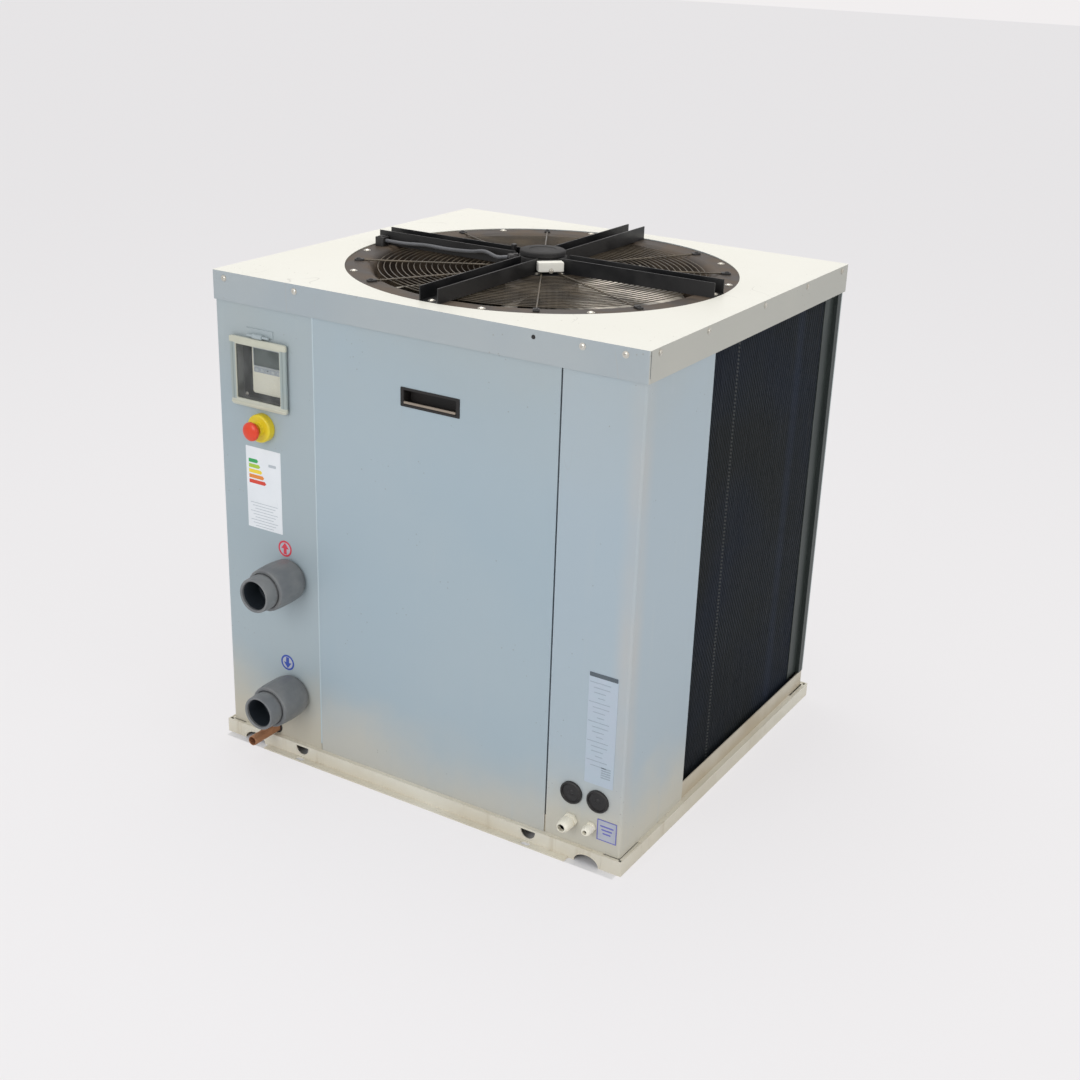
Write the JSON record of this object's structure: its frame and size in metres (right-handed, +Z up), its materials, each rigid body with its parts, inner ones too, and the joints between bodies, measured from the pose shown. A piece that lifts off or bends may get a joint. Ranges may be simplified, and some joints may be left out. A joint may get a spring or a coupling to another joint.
{
  "type": "commercial heat pump",
  "caption": "Box-shaped air-source heat pump with a top fan under a wire guard, finned coils on three sides, water sockets and a small controller on the front.",
  "frame": {"origin": "middle of the cabinet's footprint at ground level, which is the centre of the four anchor slots", "axes": "+Z up, -Y out of the front with the controller and the water sockets, +X to the right seen from the front"},
  "size_m": [1.02, 1.06, 1.0965],
  "materials": {
    "cabinet_paint": "satin powder coat, light blue-grey, faded and stained low down",
    "lid_paint": "satin powder coat, bleached near white on top",
    "base_paint": "cream paint with dirt",
    "galvanised": "dull galvanised sheet",
    "post_paint": "dark grey-green paint",
    "coil_fins": "dark coated fins",
    "fan_black": "black powder coat",
    "shroud_brown": "black paint gone brown",
    "blade_grey": "cast blades, dusty",
    "cable_grey": "grey cable sheath",
    "pvc_grey": "dark grey PVC",
    "black_plastic": "black moulding",
    "cream_plastic": "cream moulding",
    "pad_cream": "cream keypad",
    "clear_plastic": "clear cover sheet",
    "screen_green": "unlit display",
    "stop_yellow": "yellow moulding",
    "stop_red": "red mushroom head",
    "copper": "dull copper tube",
    "gland_cream": "cream nylon"
  },
  "bodies": {
    "cabinet": {"foot_front_left": "base_paint", "foot_front_right": "base_paint", "foot_rear_left": "base_paint", "foot_rear_right": "base_paint", "front_rail": "base_paint", "rear_rail": "base_paint", "side_rails": "base_paint", "drain_pan": "base_paint", "left_corner_panel": "cabinet_paint", "right_corner_panel": "cabinet_paint", "service_door": "cabinet_paint", "handle_recess": "black_plastic", "rear_post_left": "post_paint", "rear_post_right": "post_paint", "bulkhead": "galvanised", "coil_left": "coil_fins", "coil_right": "coil_fins", "coil_rear": "coil_fins", "lid": "lid_paint", "fan_shroud": "shroud_brown", "fan_guard": "fan_black", "fan_arm_front": "fan_black", "fan_arm_right": "fan_black", "fan_arm_rear": "fan_black", "fan_arm_left": "fan_black", "fan_motor": "fan_black", "terminal_box": "cream_plastic", "motor_cable": "cable_grey", "cable_fittings": "black_plastic", "controller_box": "cream_plastic", "control_pad": "pad_cream", "control_screen": "screen_green", "cover_hinge": "cream_plastic", "estop_collar": "stop_yellow", "water_outlet_socket": "pvc_grey", "water_outlet_nut": "pvc_grey", "water_inlet_socket": "pvc_grey", "water_inlet_nut": "pvc_grey", "drain_stub": "copper", "blank_plugs": "black_plastic", "cable_glands": "gland_cream"},
    "fan": {"impeller": "blade_grey"},
    "cover": {"controller_cover": "cream_plastic", "cover_pane": "clear_plastic"},
    "stop_button": {"estop_button": "stop_red"}
  },
  "joints": [
    {"name": "fan_spin", "type": "hinge", "parent": "cabinet", "child": "fan", "pos_m": [0, 0, 1], "axis": [0, 0, 1], "continuous": true},
    {"name": "cover_swing", "type": "hinge", "parent": "cabinet", "child": "cover", "pos_m": [-0.383, -0.464, 0.9395], "axis": [-1, 0, 0], "range_deg": [0, 100]},
    {"name": "stop_press", "type": "slide", "parent": "cabinet", "child": "stop_button", "axis": [0, 1, 0], "range_m": [0, 0.003], "stiffness_N_per_m": 1500}
  ]
}
